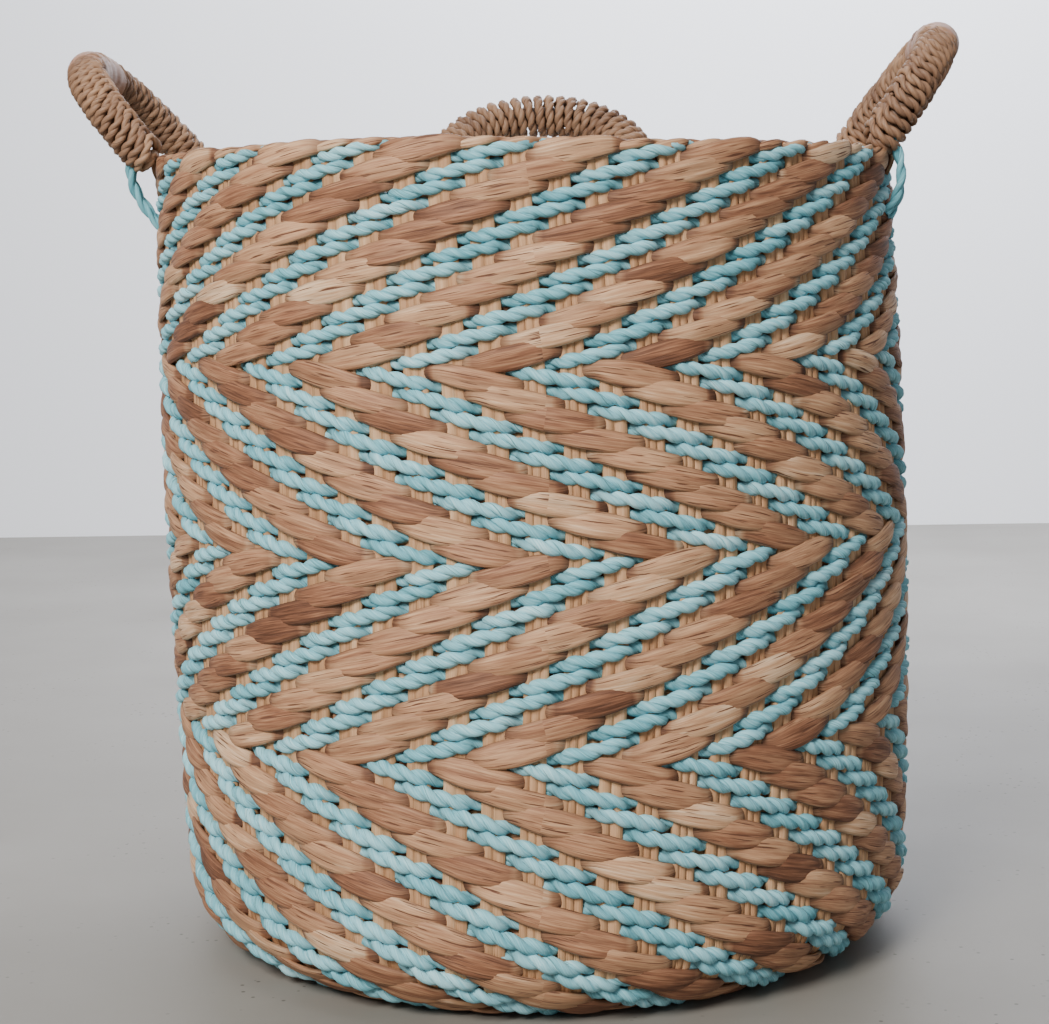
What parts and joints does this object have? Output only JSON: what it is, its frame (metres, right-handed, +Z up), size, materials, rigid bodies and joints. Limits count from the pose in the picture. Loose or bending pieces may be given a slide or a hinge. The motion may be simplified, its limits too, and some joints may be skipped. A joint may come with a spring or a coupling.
{
  "type": "woven laundry basket",
  "caption": "Round twined laundry basket with a rounded bottom edge, zigzag colour bands and wrapped arch handles lashed to the rim.",
  "frame": {"origin": "middle of the underside, where the basket stands", "axes": "+Z up; -Y is the front, which has no handle; +X is to the right of someone facing the front"},
  "size_m": [0.5449, 0.5121, 0.5553],
  "materials": {
    "hyacinth_weft": "matt dried water hyacinth strip",
    "stake_strip": "matt split cane strip",
    "blue_cord": "matt dyed two-ply cord",
    "wrap_cord": "two-ply hyacinth cord, polished by hands at the top",
    "cane": "plain cane"
  },
  "bodies": {
    "basket": {"weave_band_1": "hyacinth_weft", "weave_band_2": "hyacinth_weft", "weave_band_3": "hyacinth_weft", "weave_band_4": "hyacinth_weft", "stakes": "stake_strip", "rim_outer_strand": "hyacinth_weft", "rim_inner_strand": "hyacinth_weft", "base_weave": "hyacinth_weft", "base_spokes": "stake_strip", "base_centre": "hyacinth_weft", "handle_left_lashings": "blue_cord", "handle_left_straps": "stake_strip", "handle_right_lashings": "blue_cord", "handle_right_straps": "stake_strip", "handle_back_lashings": "blue_cord", "handle_back_straps": "stake_strip"},
    "handle_left": {"handle_left_core": "cane", "handle_left_wrap": "wrap_cord"},
    "handle_right": {"handle_right_core": "cane", "handle_right_wrap": "wrap_cord"},
    "handle_back": {"handle_back_core": "cane", "handle_back_wrap": "wrap_cord"}
  },
  "joints": [
    {"name": "left_tilt", "type": "hinge", "parent": "basket", "child": "handle_left", "pos_m": [-0.22165, 0.01939, 0.482], "axis": [-0.0872, -0.9962, 0], "range_deg": [-51, 21]},
    {"name": "right_tilt", "type": "hinge", "parent": "basket", "child": "handle_right", "pos_m": [0.21097, -0.00368, 0.485], "axis": [0.0175, 0.9998, 0], "range_deg": [-45, 27]},
    {"name": "back_tilt", "type": "hinge", "parent": "basket", "child": "handle_back", "pos_m": [0.01125, 0.21471, 0.4836], "axis": [-0.9986, 0.0523, 0], "range_deg": [-65, 7]}
  ]
}
